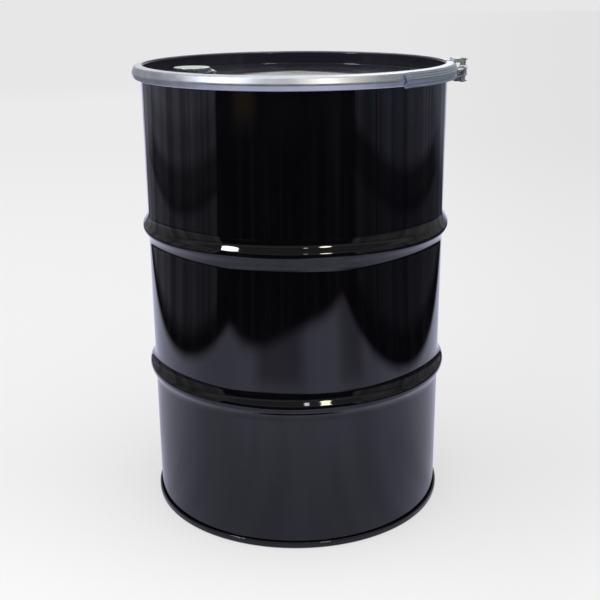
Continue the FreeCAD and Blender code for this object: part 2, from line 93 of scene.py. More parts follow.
class DrumBodySizes(bpy.types.PropertyGroup):
    sheet: length("Sheet", "Thickness of the body, cover and bottom", 1.2 * MM)
    wall_radius: length("Wall radius", "Outside of the plain wall", 287.0 * MM)
    hoop_radius: length("Hoop radius", "Outside of the rolling hoops", BODY_HIGH.x)
    hoop_half_height: length("Hoop half height", "From a hoop's crest to its crease", 20.0 * MM)
    upper_hoop: length("Upper hoop", "Height of the upper hoop's crest", 566.0 * MM)
    lower_hoop: length("Lower hoop", "Height of the lower hoop's crest", 285.0 * MM)
    curl_radius: length("Curl radius", "Outside radius of the rolled top edge", 5.5 * MM)
    seam_radius: length("Seam radius", "Outside of the bottom seam", HEAD_HIGH.x)
    seam_height: length("Seam height", "Height of the bottom seam", 12.5 * MM)
    bottom_recess: length("Bottom recess", "Height of the bottom above the floor", 15.0 * MM)
    weld_angle: angle_setting("Weld angle", "Where the body's side weld runs", math.radians(62))
    segments: IntProperty(
        name="Segments", description="Divisions round the drum", default=256, min=64, max=720
    )


class DrumCoverSizes(bpy.types.PropertyGroup):
    depth: length("Depth", "How far the panel lies below the ring's top", 25.0 * MM)
    crown: length("Crown", "How far the panel's middle is raised", 3.5 * MM)
    crown_radius: length("Crown radius", "Where the raised middle of the panel ends", 148.0 * MM)
    groove: length("Groove", "Depth of the groove round the panel", 4.0 * MM)
    wall_radius: length("Wall radius", "Outside of the cover's upright wall", 284.5 * MM)
    shoulder_radius: length("Shoulder radius", "Where the cover's flange turns down", 296.4 * MM)
    skirt_radius: length("Skirt radius", "Outside of the cover's skirt", COVER_HIGH.x)
    skirt_end: length("Skirt end", "Height of the skirt's lower edge", 856.0 * MM)
    boss_radius: length("Boss radius", "Foot of the raised boss round the bung", 48.0 * MM)
    boss_rise: length("Boss rise", "Height of the boss above the panel", 6.0 * MM)
    neck_radius: length("Neck radius", "Outside of the bung flange's neck", 33.0 * MM)
    seal_sheet: length("Seal sheet", "Thickness of the cap seal", 0.5 * MM)


class DrumRingSizes(bpy.types.PropertyGroup):
    sheet: length("Strip", "Thickness of the closing ring", 2.0 * MM)
    radius: length("Radius", "Outside of the closing ring", -RING_LOW.x)
    lip_radius: length("Lip radius", "Inner edge of the ring's upper lip", 284.4 * MM)
    hook_radius: length("Hook radius", "Inner edge of the ring's lower lip", 290.8 * MM)
    foot: length("Foot", "Height of the ring's lower corner", 843.2 * MM)
    middle: length("Middle", "Height where the ring bulges out most", 853.5 * MM)
    nose_bend: length("Nose bend", "Bend of the ring's sheet at its widest", 6.0 * MM)
    lean: angle_setting("Lean", "How far the sides slope in above and below the middle", math.radians(21.5))
    gap: angle_setting("Half gap", "Angle from the lock's middle to each end", math.radians(1.5))


class DrumLockSizes(bpy.types.PropertyGroup):
    """The lever's ribbed strip and its two ears"""

    sheet: length("Sheet", "Thickness of the lever's strip", 1.2 * MM)
    clear: length("Clearance", "From the ring's middle line to the strip's", 2.2 * MM)
    half_height: length("Half height", "Half of the strip's height", 12.5 * MM)
    turned_edge: length("Turned edge", "How far the strip's lower edge turns out", 4.6 * MM)
    rib_depth: length("Rib depth", "Depth of the pressed ribs", 1.1 * MM)
    ear_sheet: length("Ear sheet", "Thickness of the ears", 2.5 * MM)
    ear_level: length("Ear level", "From the lock's middle to the ears", 4.6 * MM)
    level: length("Level", "Height of the lock's middle", 848.5 * MM)
    ribs: IntProperty(name="Ribs", description="Number of pressed ribs", default=5, min=1)


class DrumFinishes(bpy.types.PropertyGroup):
    enamel: colour("Enamel", "Gloss paint of the body and cover", (0.0011, 0.0010, 0.0016))
    zinc: colour("Zinc", "Plating of the closing ring", (0.73, 0.76, 0.83))
    lever_zinc: colour("Lever zinc", "Plating of the lever's strip", (0.67, 0.73, 0.87))
    lock_zinc: colour("Lock zinc", "Plating of the lugs and link", (0.78, 0.80, 0.85))
    bright_steel: colour("Bright steel", "Pins and rivets", (0.80, 0.81, 0.83))
    tinplate: colour("Tinplate", "The cap seal over the bung", (0.80, 0.79, 0.76))
    fitting: colour("Fitting", "Bung flange and plug", (0.52, 0.53, 0.52))
    rubber: colour("Rubber", "Gaskets", (0.018, 0.018, 0.018))
    plug_ring: colour("Plug ring", "Sealing ring of the plug", (0.70, 0.70, 0.67))
    orange_peel: number_setting("Orange peel", "Fine ripple of the paint", 0.03)
    dust: number_setting("Dust", "How much dust lies on upward faces", 0.012)


class DrumStageSettings(bpy.types.PropertyGroup):
    lens: number_setting("Lens", "Focal length in millimetres", 59.37)
    camera_place: FloatVectorProperty(
        name="Camera",
        description="Where the camera stands",
        default=(0.0077, -1.9094, 1.0150),
        size=3,
        subtype="TRANSLATION",
    )
    camera_tilt: angle_setting("Tilt", "How far the camera looks down", math.radians(17.99))
    camera_roll: angle_setting("Roll", "The camera's lean to one side", -0.0076)
    floor: colour("Floor", "Tone of the floor near the drum", (0.94, 0.94, 0.94))
    # Painted shade: far from the drum the floor is blended towards this darker tone.
    backdrop: colour("Backdrop", "Tone beyond the floor", (0.80, 0.80, 0.80))
    lamp_brightness: number_setting("Lamp brightness", "How bright lamps look in gloss", 30.0)


# ---- outlines of bent sheet ----
ARC_STEP = math.radians(5)
LONGEST_RUN = 30 * MM
SUPPORT = 0.4 * MM


def unit(start, end):
    run, rise = end[0] - start[0], end[1] - start[1]
    size = math.hypot(run, rise)
    return run / size, rise / size


def run_points(start, end):
    """Points along a straight run, with one close to each end so that shading stays flat."""
    run, rise = end[0] - start[0], end[1] - start[1]
    size = math.hypot(run, rise)
    if size < 1e-7:
        return []
    shares = [0.0]
    if size > 4 * SUPPORT:
        count = math.ceil(size / LONGEST_RUN)
        shares += [SUPPORT / size] + [step / count for step in range(1, count)] + [1 - SUPPORT / size]
    return [(start[0] + run * share, start[1] + rise * share) for share in shares]


def on_circle(centre, radius, angle):
    return (centre[0] + radius * math.cos(angle), centre[1] + radius * math.sin(angle))


def beside(point, direction, offset):
    return point[0] - direction[1] * offset, point[1] + direction[0] * offset


def bent_line(corners, offset):
    """Straight runs and tangent arcs beside the line through (radius, height, bend) corners."""
    points = []
    here = beside(corners[0], unit(corners[0], corners[1]), offset)
    for before, corner, after in zip(corners, corners[1:], corners[2:]):
        arriving, leaving = unit(before, corner), unit(corner, after)
        cross = arriving[0] * leaving[1] - arriving[1] * leaving[0]
        turn = math.atan2(cross, arriving[0] * leaving[0] + arriving[1] * leaving[1])
        side = math.copysign(1, turn)
        back = corner[2] * math.tan(abs(turn) / 2)
        first = (corner[0] - arriving[0] * back, corner[1] - arriving[1] * back)
        centre = beside(first, arriving, side * corner[2])
        radius = corner[2] - side * offset
        start = math.atan2(first[1] - centre[1], first[0] - centre[0])
        steps = max(2, math.ceil(abs(turn) / ARC_STEP))
        arc = [on_circle(centre, radius, start + turn * step / steps) for step in range(steps + 1)]
        points += run_points(here, arc[0]) + arc[:-1]
        here = arc[-1]
    end = beside(corners[-1], unit(corners[-2], corners[-1]), offset)
    return points + run_points(here, end) + [end]


def sheet_outline(corners, thickness):
    """Both faces of a bent sheet, as one closed outline."""
    return bent_line(corners, thickness / 2) + bent_line(corners, -thickness / 2)[::-1]


# ---- meshes ----
def new_piece(name, mesh_maker, sharp=math.radians(38)):
    """An object from a bmesh, shaded smooth except at sharp edges."""
    mesh = bpy.data.meshes.new(name)
    bmesh.ops.remove_doubles(mesh_maker, verts=mesh_maker.verts, dist=2e-7)
    bmesh.ops.recalc_face_normals(mesh_maker, faces=mesh_maker.faces)
    mesh_maker.to_mesh(mesh)
    mesh_maker.free()
    mesh.shade_smooth()
    mesh.set_sharp_from_angle(angle=sharp)
    piece = bpy.data.objects.new(name, mesh)
    bpy.context.scene.collection.objects.link(piece)
    return piece


def turned(maker, outline, angles, closed=True, centre=(0.0, 0.0), relief=None):
    """Adds an outline of (radius, height) points swept through angles; a full turn joins up."""
    full = abs(abs(angles[-1] - angles[0]) - math.tau) < 1e-6
    stations = angles[:-1] if full else angles
    rings = []
    for angle in stations:
        ring = []
        for radius, height in outline:
            reach = radius + (relief(angle, radius, height) if relief else 0.0)
            ring.append(maker.verts.new((*on_circle(centre, reach, angle), height)))
        rings.append(ring)
    pairs = list(zip(rings, rings[1:] + (rings[:1] if full else [])))
    count = len(outline)
    for near, far in pairs:
        for index in range(count if closed else count - 1):
            after = (index + 1) % count
            corners = [near[index], far[index], far[after], near[after]]
            if outline[index][0] < 1e-9 and outline[after][0] < 1e-9:
                continue
            maker.faces.new(corners)
    if not full and closed:
        maker.faces.new(rings[0])
        maker.faces.new(rings[-1][::-1])
    return rings


def turn_angles(start, end, count):
    return [start + (end - start) * step / count for step in range(count + 1)]


def full_turn(count):
    return turn_angles(-math.pi, math.pi, count)


def give(piece, body, material, slot, *nodes):
    """Finishes a piece: its material, the CAD body it rides on and the nodes it stands for."""
    piece.data.materials.clear()
    piece.data.materials.append(material)
    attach(piece, body)
    if nodes:
        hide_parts(*nodes)


def repaint(node, material):
    """Gives a carried-over CAD node its finish."""
    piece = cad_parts[node]
    if not piece.material_slots:
        raise RuntimeError("node " + node + " has no material slot")
    for place in piece.material_slots:
        place.material = material


def softened(node, name, width, material, body, slot):
    """A copy of a CAD node whose sharp edges are rounded."""
    maker = bmesh.new()
    maker.from_mesh(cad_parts[node].data)
    maker.transform(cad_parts[node].matrix_world)
    bmesh.ops.remove_doubles(maker, verts=maker.verts, dist=1e-6)
    bmesh.ops.dissolve_limit(maker, angle_limit=math.radians(1), verts=maker.verts, edges=maker.edges)
    piece = new_piece(name, maker, math.radians(30))
    rounded(piece, width)
    give(piece, body, material, slot, node)
    return piece


# ---- shader building blocks ----
def add(tree, kind, **settings):
    item = tree.nodes.new(kind)
    for key, value in settings.items():
        setattr(item, key, value)
    return item


def feed(tree, socket, value):
    """Links a socket to another node's output, or sets its number."""
    if isinstance(value, bpy.types.NodeSocket):
        tree.links.new(value, socket)
    else:
        socket.default_value = value


def sums(tree, operation, first, second=0.0, third=None, clamp=False):
    item = add(tree, "ShaderNodeMath", operation=operation, use_clamp=clamp)
    feed(tree, item.inputs[0], first)
    feed(tree, item.inputs[1], second)
    if third is not None:
        feed(tree, item.inputs[2], third)
    return item.outputs[0]


def ramp(tree, value, low, high, start=0.0, end=1.0):
    """Smoothly from start to end while value goes from low to high."""
    item = add(tree, "ShaderNodeMapRange", interpolation_type="SMOOTHSTEP")
    feed(tree, item.inputs["Value"], value)
    for key, number in (("From Min", low), ("From Max", high), ("To Min", start), ("To Max", end)):
        feed(tree, item.inputs[key], number)
    return item.outputs["Result"]


def chained(tree, operation, values):
    result = values[0]
    for value in values[1:]:
        result = sums(tree, operation, result, value)
    return result


def product(tree, *values):
    return chained(tree, "MULTIPLY", values)


def total(tree, *values):
    return chained(tree, "ADD", values)


def greatest(tree, *values):
    return chained(tree, "MAXIMUM", values)


def opposite(tree, value):
    return sums(tree, "SUBTRACT", 1.0, value)


def within(tree, value, low, high, soft):
    """One between two limits and zero outside, with soft edges."""
    rising = ramp(tree, value, low - soft, low + soft)
    return product(tree, rising, ramp(tree, value, high - soft, high + soft, 1.0, 0.0))


def sector(tree, bearing, low, high, soft):
    """One between two bearings in degrees and zero outside, with soft edges."""
    return within(tree, bearing, math.radians(low), math.radians(high), math.radians(soft))


def blend(tree, share, first, second):
    """Mixes two colours."""
    item = add(tree, "ShaderNodeMix", data_type="RGBA")
    feed(tree, item.inputs[0], share)
    feed(tree, item.inputs[6], first)
    feed(tree, item.inputs[7], second)
    return item.outputs[2]


def noise(tree, vector, scale, detail=2.0, roughness=0.5):
    item = add(tree, "ShaderNodeTexNoise")
    feed(tree, item.inputs["Vector"], vector)
    feed(tree, item.inputs["Scale"], scale)
    item.inputs["Detail"].default_value = detail
    item.inputs["Roughness"].default_value = roughness
    return item.outputs["Fac"]


def fringe(tree, bearing, stretch, seed, detail=1.0, rough=0.5):
    """Noise that changes only with the bearing, so that it stands in upright stripes."""
    place = joined(tree, product(tree, bearing, stretch), seed, 0.0)
    return noise(tree, place, 1.0, detail, rough)


def object_place(tree):
    return add(tree, "ShaderNodeTexCoord").outputs["Object"]


def coordinates(tree, vector):
    item = add(tree, "ShaderNodeSeparateXYZ")
    feed(tree, item.inputs[0], vector)
    return item.outputs


def round_place(tree, vector):
    """Angle round the drum, radius and height of a point."""
    x, y, z = coordinates(tree, vector)
    radius = sums(tree, "SQRT", total(tree, product(tree, x, x), product(tree, y, y)))
    return sums(tree, "ARCTAN2", y, x), radius, z


def joined(tree, x, y, z):
    item = add(tree, "ShaderNodeCombineXYZ")
    for socket, value in zip(item.inputs, (x, y, z)):
        feed(tree, socket, value)
    return item.outputs[0]


def new_group(name, inputs, outputs):
    tree = bpy.data.node_groups.new(name, "ShaderNodeTree")
    for label, default in inputs:
        socket = tree.interface.new_socket(name=label, in_out="INPUT", socket_type="NodeSocketFloat")
        socket.default_value = default
    for label in outputs:
        tree.interface.new_socket(name=label, in_out="OUTPUT", socket_type="NodeSocketFloat")
    return tree, add(tree, "NodeGroupInput"), add(tree, "NodeGroupOutput")


RIPPLE_RADIUS = 0.287


def sheet_ripple_group():
    """Broad waves that rolled sheet shows under gloss paint, longer along the drum than round it."""
    tree, inputs, outputs = new_group("sheet_ripple", [("Scale", 9.0), ("Stretch", 0.35)], ["Height"])
    angle, radius, z = round_place(tree, object_place(tree))
    scale = inputs.outputs["Scale"]
    round_way = product(tree, angle, RIPPLE_RADIUS, scale)
    up_way = product(tree, z, scale, inputs.outputs["Stretch"])
    place = joined(tree, round_way, up_way, product(tree, radius, scale))
    feed(tree, outputs.inputs["Height"], noise(tree, place, 1.0, 1.5, 0.4))
    return tree


def fine_grain_group():
    """Small even specks, for orange peel, plating and rubber."""
    tree, inputs, outputs = new_group("fine_grain", [("Scale", 600.0), ("Contrast", 1.0)], ["Value"])
    specks = noise(tree, object_place(tree), inputs.outputs["Scale"], 3.0)
    centred = sums(tree, "SUBTRACT", specks, 0.5)
    value = sums(tree, "MULTIPLY_ADD", centred, inputs.outputs["Contrast"], 0.5, clamp=True)
    feed(tree, outputs.inputs["Value"], value)
    return tree


def dust_group():
    """A thin broken film that settles on faces that look up."""
    tree, inputs, outputs = new_group("settled_dust", [("Amount", 0.05)], ["Mask"])
    facing = coordinates(tree, add(tree, "ShaderNodeNewGeometry").outputs["Normal"])
    upward = ramp(tree, facing[2], 0.2, 0.95, 0.25, 1.0)
    patches = ramp(tree, noise(tree, object_place(tree), 22.0, 5.0, 0.62), 0.35, 0.75)
    specks = ramp(tree, noise(tree, object_place(tree), 900.0, 2.0, 0.6), 0.62, 0.74)
    film = product(tree, upward, sums(tree, "MULTIPLY_ADD", patches, 0.7, specks))
    feed(tree, outputs.inputs["Mask"], sums(tree, "MULTIPLY", film, inputs.outputs["Amount"], clamp=True))
    return tree


def roll_marks_group():
    """Fine lines that run round the drum, left by rolling and drawing a strip."""
    tree, inputs, outputs = new_group(
        "roll_marks", [("Fineness", 900.0), ("Length", 3.0)], ["Lines", "Patches"]
    )
    angle, radius, z = round_place(tree, object_place(tree))
    along = product(tree, angle, inputs.outputs["Length"])
    across = product(tree, z, inputs.outputs["Fineness"])
    depth = product(tree, radius, inputs.outputs["Fineness"])
    lines = noise(tree, joined(tree, along, across, depth), 1.0, 3.0, 0.6)
    feed(tree, outputs.inputs["Lines"], lines)
    patches = noise(tree, object_place(tree), 30.0, 3.0, 0.6)
    feed(tree, outputs.inputs["Patches"], patches)
    return tree


def placed(tree, name, **values):
    """A shared group, built the first time it is asked for, with its own values."""
    makers = {
        "sheet_ripple": sheet_ripple_group,
        "fine_grain": fine_grain_group,
        "settled_dust": dust_group,
        "roll_marks": roll_marks_group,
    }
    item = add(tree, "ShaderNodeGroup", node_tree=bpy.data.node_groups.get(name) or makers[name]())
    for key, value in values.items():
        item.inputs[key].default_value = value
    return item


def bump(tree, height, distance, strength=1.0, normal=None):
    item = add(tree, "ShaderNodeBump")
    feed(tree, item.inputs["Height"], height)
    item.inputs["Distance"].default_value = distance
    item.inputs["Strength"].default_value = strength
    if normal is not None:
        feed(tree, item.inputs["Normal"], normal)
    return item.outputs["Normal"]


def new_material(name):
    """An empty material and its Principled shader."""
    material = bpy.data.materials.new(name)
    material.use_nodes = True
    tree = material.node_tree
    return material, tree, tree.nodes["Principled BSDF"]


def solid(rgb, factor=1.0):
    return (rgb[0] * factor, rgb[1] * factor, rgb[2] * factor, 1.0)


def grain(tree, scale, contrast):
    return placed(tree, "fine_grain", Scale=scale, Contrast=contrast).outputs["Value"]


def dress(tree, shader, tone, roughness, normal, metallic=0.0):
    """Feeds the maps that every finish has."""
    feed(tree, shader.inputs["Base Color"], tone)
    feed(tree, shader.inputs["Roughness"], roughness)
    feed(tree, shader.inputs["Normal"], normal)
    shader.inputs["Metallic"].default_value = metallic


# ---- finishes ----
def enamel(finishes, name="black_enamel", painted_lightening=1.0, dust_share=1.0, blur=0.02):
    """Gloss black baked paint: broad sheet waves, orange peel and a trace of dust."""
    material, tree, shader = new_material(name)
    dust = placed(tree, "settled_dust", Amount=finishes.dust * dust_share).outputs["Mask"]
    smear = noise(tree, object_place(tree), 5.0, 3.0, 0.55)
    # The paint's tone is scaled: by 1 on the body, while the cover's 13 makes the whole cover lighter as a
    # painted sheen.
    paint = blend(tree, smear, solid(finishes.enamel, painted_lightening), solid(finishes.enamel, painted_lightening * 1.8))
    tone = blend(tree, dust, paint, (0.32, 0.31, 0.29, 1.0))
    roughness = ramp(tree, smear, 0.3, 0.7, blur, blur + 0.03)
    roughness = sums(tree, "MULTIPLY_ADD", dust, 2.5, roughness, clamp=True)
    waves = placed(tree, "sheet_ripple", Scale=9.0, Stretch=0.35).outputs["Height"]
    broad = bump(tree, waves, 0.35 * MM)
    peel = bump(tree, grain(tree, 420.0, 1.0), 0.02 * MM, finishes.orange_peel, broad)
    dress(tree, shader, tone, roughness, peel)
    shader.inputs["IOR"].default_value = 1.5
    return material


def zinc_strip(name, rgb):
    """Satin galvanised strip with lines from rolling."""
    material, tree, shader = new_material(name)
    marks = placed(tree, "roll_marks", Fineness=700.0, Length=1.6)
    lines, patches = marks.outputs["Lines"], marks.outputs["Patches"]
    mottle = blend(tree, ramp(tree, patches, 0.35, 0.7), solid(rgb, 0.88), solid(rgb))
    brushed = blend(tree, ramp(tree, lines, 0.35, 0.75, 0.0, 0.3), mottle, (0.74, 0.76, 0.80, 1.0))
    roughness = ramp(tree, patches, 0.3, 0.7, 0.40, 0.48)
    dress(tree, shader, brushed, roughness, bump(tree, lines, 0.01 * MM, 0.5), 1.0)
    return material


def plated(name, rgb, low, high, scale=350.0):
    """Plated or turned steel: fine grain and a little mottling."""
    material, tree, shader = new_material(name)
    patches = noise(tree, object_place(tree), 120.0, 4.0, 0.6)
    tone = blend(tree, ramp(tree, patches, 0.3, 0.7), solid(rgb, 0.72), solid(rgb))
    roughness = ramp(tree, patches, 0.3, 0.75, low, high)
    normal = bump(tree, grain(tree, scale, 1.4), 0.03 * MM, 0.5)
    dress(tree, shader, tone, roughness, normal, 1.0)
    return material


def tinned(finishes):
    """Bright tinned sheet whose lacquer shows faint pink and green."""
    material, tree, shader = new_material("tinplate")
    tint = noise(tree, object_place(tree), 28.0, 2.0, 0.5)
    green_share, pink_share = ramp(tree, tint, 0.44, 0.60), ramp(tree, tint, 0.30, 0.46, 1.0, 0.0)
    greenish = blend(tree, green_share, solid(finishes.tinplate), (0.50, 0.70, 0.58, 1.0))
    pinkish = blend(tree, pink_share, greenish, (0.76, 0.60, 0.66, 1.0))
    mottle = noise(tree, object_place(tree), 90.0, 3.0, 0.5)
    roughness = ramp(tree, mottle, 0.3, 0.7, 0.22, 0.36)
    normal = bump(tree, grain(tree, 200.0, 1.0), 0.05 * MM, 0.4)
    dress(tree, shader, pinkish, roughness, normal, 1.0)
    return material


def rubbery(name, rgb):
    """Matt rubber with a fine skin texture."""
    material, tree, shader = new_material(name)
    skin = grain(tree, 500.0, 1.6)
    lighter = solid([min(1.0, value * 1.6 + 0.004) for value in rgb])
    tone = blend(tree, skin, solid(rgb), lighter)
    roughness = ramp(tree, skin, 0.2, 0.8, 0.55, 0.8)
    dress(tree, shader, tone, roughness, bump(tree, skin, 0.1 * MM, 0.5))
    return material


def finish(name):
    """A material by its slot name, built the first time it is asked for."""
    made = bpy.data.materials.get("finish_" + name)
    if made:
        return made
    finishes = bpy.context.scene.drum_finishes
    makers = {
        "black_enamel": lambda: enamel(finishes),
        # The cover's paint is painted 13 times lighter than the body's, a painted sheen, and carries more
        # dust.
        "cover_enamel": lambda: enamel(finishes, "cover_enamel", 13.0, 1.6, 0.09),
        "galvanised_ring": lambda: zinc_strip("galvanised_ring", finishes.zinc),
        "zinc_lever": lambda: zinc_strip("zinc_lever", finishes.lever_zinc),
        "zinc_lock": lambda: plated("zinc_lock", finishes.lock_zinc, 0.34, 0.46),
        "bright_pin": lambda: plated("bright_pin", finishes.bright_steel, 0.24, 0.36, 500.0),
        "plated_fitting": lambda: plated("plated_fitting", finishes.fitting, 0.22, 0.38),
        "tinplate": lambda: tinned(finishes),
        "rubber_black": lambda: rubbery("rubber_black", finishes.rubber),
        "rubber_white": lambda: rubbery("rubber_white", finishes.plug_ring),
    }
    material = makers[name]()
    material.name = "finish_" + name
    return material


# ---- body and bottom ----
SEAM_BEND = 1.6 * MM
HOOK_STEP = 1.7 * MM
HOOP_BEND = 13.0 * MM
HOOP_FOOT_BEND = 32.0 * MM
WELD_HALF_WIDTH = 4 * MM
WELD_RISE = 0.35 * MM
WELD_FADE = 6 * MM
BOTTOM_FLAT = 250 * MM
BOTTOM_STEP = 258 * MM
BOTTOM_BEND = 6 * MM


def hoop_corners(sizes, height):
    wall = sizes.wall_radius - sizes.sheet / 2
    apex = sizes.hoop_radius - sizes.sheet / 2
    crest = apex
    for _ in range(12):
        lean = math.atan2(crest - wall, sizes.hoop_half_height)
        crest = apex + HOOP_BEND * (1 / math.cos(lean) - 1)
    return [
        (wall, height + sizes.hoop_half_height, HOOP_FOOT_BEND),
        (crest, height, HOOP_BEND),
        (wall, height - sizes.hoop_half_height, HOOP_FOOT_BEND),
    ]


def body_outline(sizes):
    wall = sizes.wall_radius - sizes.sheet / 2
    curl = sizes.curl_radius - sizes.sheet / 2
    top = BODY_HIGH.z - sizes.sheet / 2
    outer = wall + 2 * curl
    hook = sizes.seam_radius - sizes.sheet / 2 - HOOK_STEP
    base = BODY_LOW.z + sizes.sheet / 2
    foot = top - 2 * curl
    corners = [(wall + 2.5 * MM, foot), (outer, foot, curl), (outer, top, curl), (wall, top, curl)]
    corners += hoop_corners(sizes, sizes.upper_hoop) + hoop_corners(sizes, sizes.lower_hoop)
    corners += [(wall, base, SEAM_BEND), (hook, base, SEAM_BEND), (hook, base + 6 * MM)]
    return sheet_outline(corners, sizes.sheet)


def weld_relief(sizes):
    """A flat side weld with a low rounded bead, from the seam to the curl."""
    def relief(angle, radius, height):
        across = abs(angle - sizes.weld_angle) * sizes.wall_radius
        from_seam = max(0.0, (height - 16 * MM) / WELD_FADE)
        from_curl = max(0.0, (BODY_HIGH.z - 14 * MM - height) / WELD_FADE)
        faded = min(1.0, from_seam, from_curl)
        if across > WELD_HALF_WIDTH or faded <= 0 or radius < sizes.wall_radius - 0.1 * MM:
            return 0.0
        return WELD_RISE * faded * (0.5 + 0.5 * math.cos(math.pi * across / WELD_HALF_WIDTH))
    return relief


class DRUM_OT_body(bpy.types.Operator):
    """Builds the body with its hoops, rolled top edge, side weld and bottom seam"""

    bl_idname = "drum.body"
    bl_label = "Body and bottom"

    def execute(self, context):
        sizes = context.scene.drum_body
        angles = full_turn(sizes.segments)
        weld = [sizes.weld_angle + offset * MM / sizes.wall_radius for offset in range(-4, 5)]
        angles = [angle for angle in angles if not weld[0] - 0.004 < angle < weld[-1] + 0.004]
        angles = sorted(angles + weld)
        maker = bmesh.new()
        turned(maker, body_outline(sizes), angles, relief=weld_relief(sizes))
        shell = new_piece("drum_body", maker)
        give(shell, "drum", finish("black_enamel"), "black_enamel", "body_shell")

        wall = sizes.wall_radius - 1.5 * sizes.sheet - 0.2 * MM
        outer = sizes.seam_radius - sizes.sheet / 2
        low, high = sizes.sheet / 2, sizes.seam_height - sizes.sheet / 2
        panel = sizes.bottom_recess + sizes.sheet / 2
        raised = panel + 2.5 * MM
        corners = [
            (0, panel),
            (BOTTOM_FLAT, panel, BOTTOM_BEND),
            (BOTTOM_STEP, raised, BOTTOM_BEND),
            (wall, raised, 4 * MM),
            (wall, low, SEAM_BEND),
            (outer, low, 2 * SEAM_BEND),
            (outer, high, SEAM_BEND),
            (outer - 2 * HOOK_STEP, high, SEAM_BEND),
            (outer - 2 * HOOK_STEP, 3.9 * MM),
        ]
        maker = bmesh.new()
        turned(maker, sheet_outline(corners, sizes.sheet), full_turn(sizes.segments))
        bottom = new_piece("drum_bottom", maker)
        give(bottom, "drum", finish("black_enamel"), "black_enamel", "bottom_head")
        repaint("seam_sealant", finish("rubber_black"))
        return {"FINISHED"}


# ---- cover and bung ----
PROFILE_START = 250 * MM
PANEL_END = 262 * MM
GROOVE_START = 267 * MM
GROOVE_BEND = 5 * MM
CROWN_FLAT = 0.27


def cover_profile(sizes, sheet, panel):
    """The cover's corners from its flat panel out over the body's curl to the end of its skirt."""
    wall = sizes.wall_radius - sheet / 2
    return [
        (PROFILE_START, panel),
        (PANEL_END, panel, 6 * MM),
        (GROOVE_START, panel - sizes.groove, GROOVE_BEND),
        (wall, panel - sizes.groove, GROOVE_BEND),
        (wall, RING_HIGH.z - 2.75 * MM, 1.5 * MM),
        (sizes.shoulder_radius, RING_HIGH.z - 3.6 * MM, 3.0 * MM),
        (sizes.skirt_radius - sheet / 2, sizes.skirt_end),
    ]


def crown_outline(sizes, sheet, panel):
    """The panel's slightly raised middle, from its underside's edge to its top's edge."""
    def risen(radius, side):
        share = min(1.0, max(0.0, (radius / sizes.crown_radius - CROWN_FLAT) / (1 - CROWN_FLAT)))
        return (radius, panel + side * sheet / 2 + sizes.crown * (1 - share * share * (3 - 2 * share)))

    radii = [sizes.crown_radius * step / 30 for step in range(31)]
    return [risen(radius, -1) for radius in radii[::-1]] + [risen(radius, 1) for radius in radii]


def fill_panel(maker, height):
    """Closes the flat between the two open loops that lie at a height."""
    rim = [
        edge for edge in maker.edges
        if edge.is_boundary and all(abs(vert.co.z - height) < 1e-6 for vert in edge.verts)
    ]
    bmesh.ops.triangle_fill(maker, use_beauty=True, use_dissolve=False, edges=rim, normal=(0, 0, 1))


class DRUM_OT_cover(bpy.types.Operator):
    """Builds the removable cover with its boss for the bung"""

    bl_idname = "drum.cover"
    bl_label = "Cover"

    def execute(self, context):
        sizes = context.scene.drum_cover
        sheet = context.scene.drum_body.sheet
        panel = RING_HIGH.z - sizes.depth - sheet / 2
        bung = (FLANGE_LOW + FLANGE_HIGH) / 2
        maker = bmesh.new()
        outline = sheet_outline(cover_profile(sizes, sheet, panel), sheet)
        turned(maker, outline, full_turn(context.scene.drum_body.segments), closed=False)
        boss = [
            (sizes.boss_radius, panel),
            (sizes.boss_radius - 3.0 * MM, panel, 3.0 * MM),
            (sizes.boss_radius - 7.5 * MM, panel + sizes.boss_rise, 3.0 * MM),
            (sizes.neck_radius, panel + sizes.boss_rise),
        ]
        outline = sheet_outline(boss, sheet)
        turned(maker, outline, full_turn(96), closed=False, centre=(bung.x, bung.y))
        turned(maker, crown_outline(sizes, sheet, panel), full_turn(192), closed=False)
        for side in (1, -1):
            fill_panel(maker, panel + side * sheet / 2)
        give(new_piece("drum_cover", maker), "cover", finish("cover_enamel"), "black_enamel", "cover")
        repaint("cover_gasket", finish("rubber_black"))
        return {"FINISHED"}


